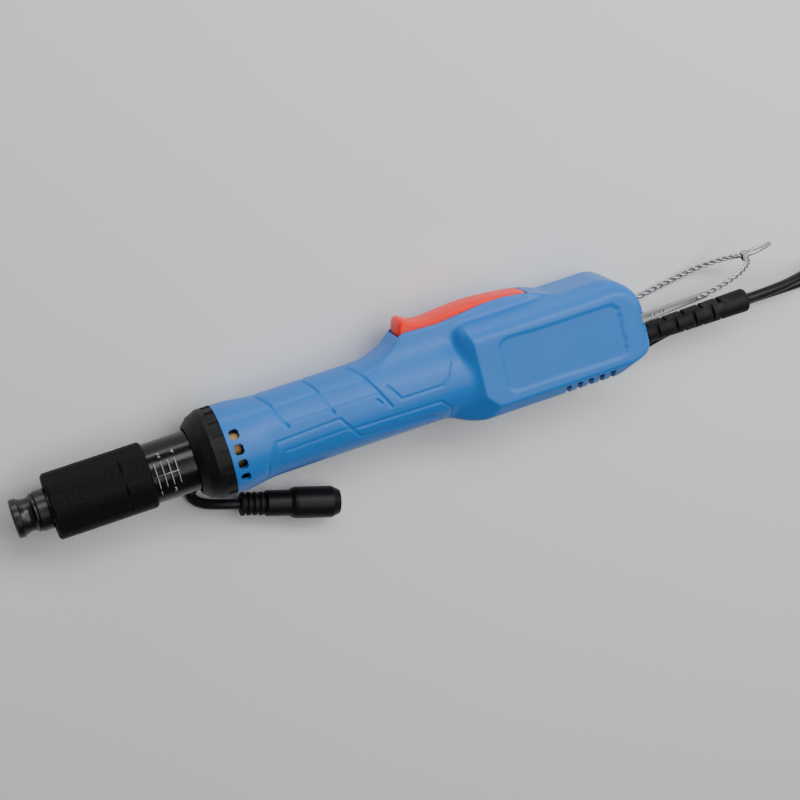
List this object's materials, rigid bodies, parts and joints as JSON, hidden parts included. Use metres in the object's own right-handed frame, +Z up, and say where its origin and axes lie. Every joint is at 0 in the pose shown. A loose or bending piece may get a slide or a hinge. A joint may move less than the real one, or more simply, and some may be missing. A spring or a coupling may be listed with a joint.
{
  "type": "electric torque screwdriver",
  "caption": "In-line electric screwdriver with a start lever, quick-change bit chuck, graduated torque sleeve, hanging bail and low-voltage lead.",
  "frame": {"origin": "centre of the chuck's mouth, on the output axis", "axes": "+X along the output axis towards the tail, +Y towards the start lever, +Z up from the bench that the tool lies on"},
  "size_m": [0.4835, 0.0986, 0.04],
  "materials": {
    "blue_housing": "satin moulded plastic with a fine texture",
    "screw_steel": "zinc-plated steel",
    "black_ring": "black moulded plastic",
    "barrel_metal": "black anodised, polished",
    "sleeve_grip": "black grained grip",
    "machined_steel": "turned steel",
    "spring_steel": "spring steel",
    "ball_steel": "polished steel",
    "collar_metal": "dark plated steel",
    "gear_steel": "hardened steel",
    "gear_brass": "machined brass",
    "motor_metal": "zinc-plated sheet",
    "magnet": "sintered ferrite",
    "lamination": "varnished laminations",
    "copper": "enamelled copper",
    "insulator": "moulded insulator",
    "carbon": "carbon",
    "red_lever": "red moulded plastic",
    "circuit_board": "printed circuit board",
    "capacitor": "sleeved can",
    "heat_sink_metal": "extruded aluminium",
    "terminal_green": "moulded plastic",
    "black_knob": "moulded plastic",
    "bail_steel": "bright steel wire",
    "black_rubber": "soft moulded rubber",
    "lead_jacket": "soft cable jacket",
    "connector_plastic": "moulded plastic"
  },
  "bodies": {
    "housing": {"left_shell": "blue_housing", "right_shell": "blue_housing", "shell_screws": "screw_steel", "nose_ring": "black_ring", "barrel": "barrel_metal", "spindle_bearing": "ball_steel", "ring_gear": "gear_brass", "motor_can": "motor_metal", "front_motor_bearing": "ball_steel", "rear_motor_bearing": "ball_steel", "field_magnets": "magnet", "motor_end_cap": "insulator", "carbon_brushes": "carbon", "lever_pin": "machined_steel", "lever_spring": "spring_steel", "start_switch": "insulator", "control_board": "circuit_board", "board_capacitors": "capacitor", "heat_sink": "heat_sink_metal", "terminal_block": "terminal_green", "direction_switch": "insulator", "bail_pivots": "screw_steel", "strain_relief": "black_rubber", "lead_inner": "lead_jacket", "lead_out": "lead_jacket", "lead_coil": "lead_jacket", "lead_tie": "black_rubber", "lead_return": "lead_jacket", "connector_boot": "black_rubber", "connector_shell": "connector_plastic", "connector_contacts": "gear_brass"},
    "output": {"output_spindle": "machined_steel", "locking_balls": "ball_steel", "clutch_plate": "machined_steel", "clutch_balls": "ball_steel", "planet_carrier": "machined_steel", "carrier_pins": "machined_steel", "collar_spring": "spring_steel"},
    "collar": {"chuck_collar": "collar_metal"},
    "rotor": {"motor_shaft": "machined_steel", "sun_gear": "gear_brass", "armature": "lamination", "armature_windings": "copper", "commutator": "copper"},
    "planet_1": {"planet_gear_1": "gear_steel"},
    "planet_2": {"planet_gear_2": "gear_steel"},
    "planet_3": {"planet_gear_3": "gear_steel"},
    "thrust_cup": {"thrust_ring": "machined_steel", "clutch_spring": "spring_steel"},
    "sleeve": {"torque_sleeve": "sleeve_grip", "sleeve_rear_collar": "sleeve_grip"},
    "lever": {"start_lever": "red_lever"},
    "plunger": {"switch_plunger": "insulator"},
    "direction": {"direction_knob": "black_knob"},
    "bail": {"hanging_bail": "bail_steel"}
  },
  "joints": [
    {"name": "spindle_spin", "type": "hinge", "parent": "housing", "child": "output", "pos_m": [0.09, 0, 0], "axis": [1, 0, 0], "continuous": true},
    {"name": "rotor_spin", "type": "hinge", "parent": "housing", "child": "rotor", "pos_m": [0.13, 0, 0], "axis": [1, 0, 0], "continuous": true},
    {"name": "collar_slide", "type": "slide", "parent": "output", "child": "collar", "axis": [1, 0, 0], "range_m": [0, 0.004], "stiffness_N_per_m": 400, "springref_m": -0.006, "deforming": ["collar_spring"]},
    {"name": "sleeve_advance", "type": "slide", "parent": "housing", "child": "thrust_cup", "axis": [1, 0, 0], "range_m": [0, 0.012], "deforming": ["clutch_spring"]},
    {"name": "torque_turn", "type": "hinge", "parent": "thrust_cup", "child": "sleeve", "pos_m": [0.03, 0, 0], "axis": [1, 0, 0], "range_deg": [0, 1440]},
    {"name": "lever_press", "type": "hinge", "parent": "housing", "child": "lever", "pos_m": [0.2345, 0.021, 0], "axis": [0, 0, 1], "range_deg": [0, 5], "stiffness_Nm_per_rad": 0.6, "springref_deg": -6.88, "deforming": ["lever_spring"]},
    {"name": "plunger_travel", "type": "slide", "parent": "housing", "child": "plunger", "axis": [0, -1, 0], "range_m": [0, 0.0025]},
    {"name": "direction_slide", "type": "slide", "parent": "housing", "child": "direction", "axis": [0, 0, 1], "range_m": [-0.0022, 0.0022]},
    {"name": "bail_swing", "type": "hinge", "parent": "housing", "child": "bail", "pos_m": [0.279, 0.001, 0], "axis": [0, 0, 1], "range_deg": [-12, 28]},
    {"name": "planet_spin_1", "type": "hinge", "parent": "output", "child": "planet_1", "pos_m": [0.1019, 0.0081, 0], "axis": [1, 0, 0], "continuous": true},
    {"name": "planet_spin_2", "type": "hinge", "parent": "output", "child": "planet_2", "pos_m": [0.1019, -0.00405, 0.00701], "axis": [1, 0, 0], "continuous": true},
    {"name": "planet_spin_3", "type": "hinge", "parent": "output", "child": "planet_3", "pos_m": [0.1019, -0.00405, -0.00701], "axis": [1, 0, 0], "continuous": true}
  ],
  "couplings": [
    {"joint": "rotor_spin", "follows": "spindle_spin", "ratio": 4.5},
    {"joint": "torque_turn", "follows": "sleeve_advance", "rad_per_m": 2094.4},
    {"joint": "plunger_travel", "follows": "lever_press", "m_per_rad": 0.0275},
    {"joint": "planet_spin_1", "follows": "spindle_spin", "ratio": -2.8},
    {"joint": "planet_spin_2", "follows": "spindle_spin", "ratio": -2.8},
    {"joint": "planet_spin_3", "follows": "spindle_spin", "ratio": -2.8}
  ]
}
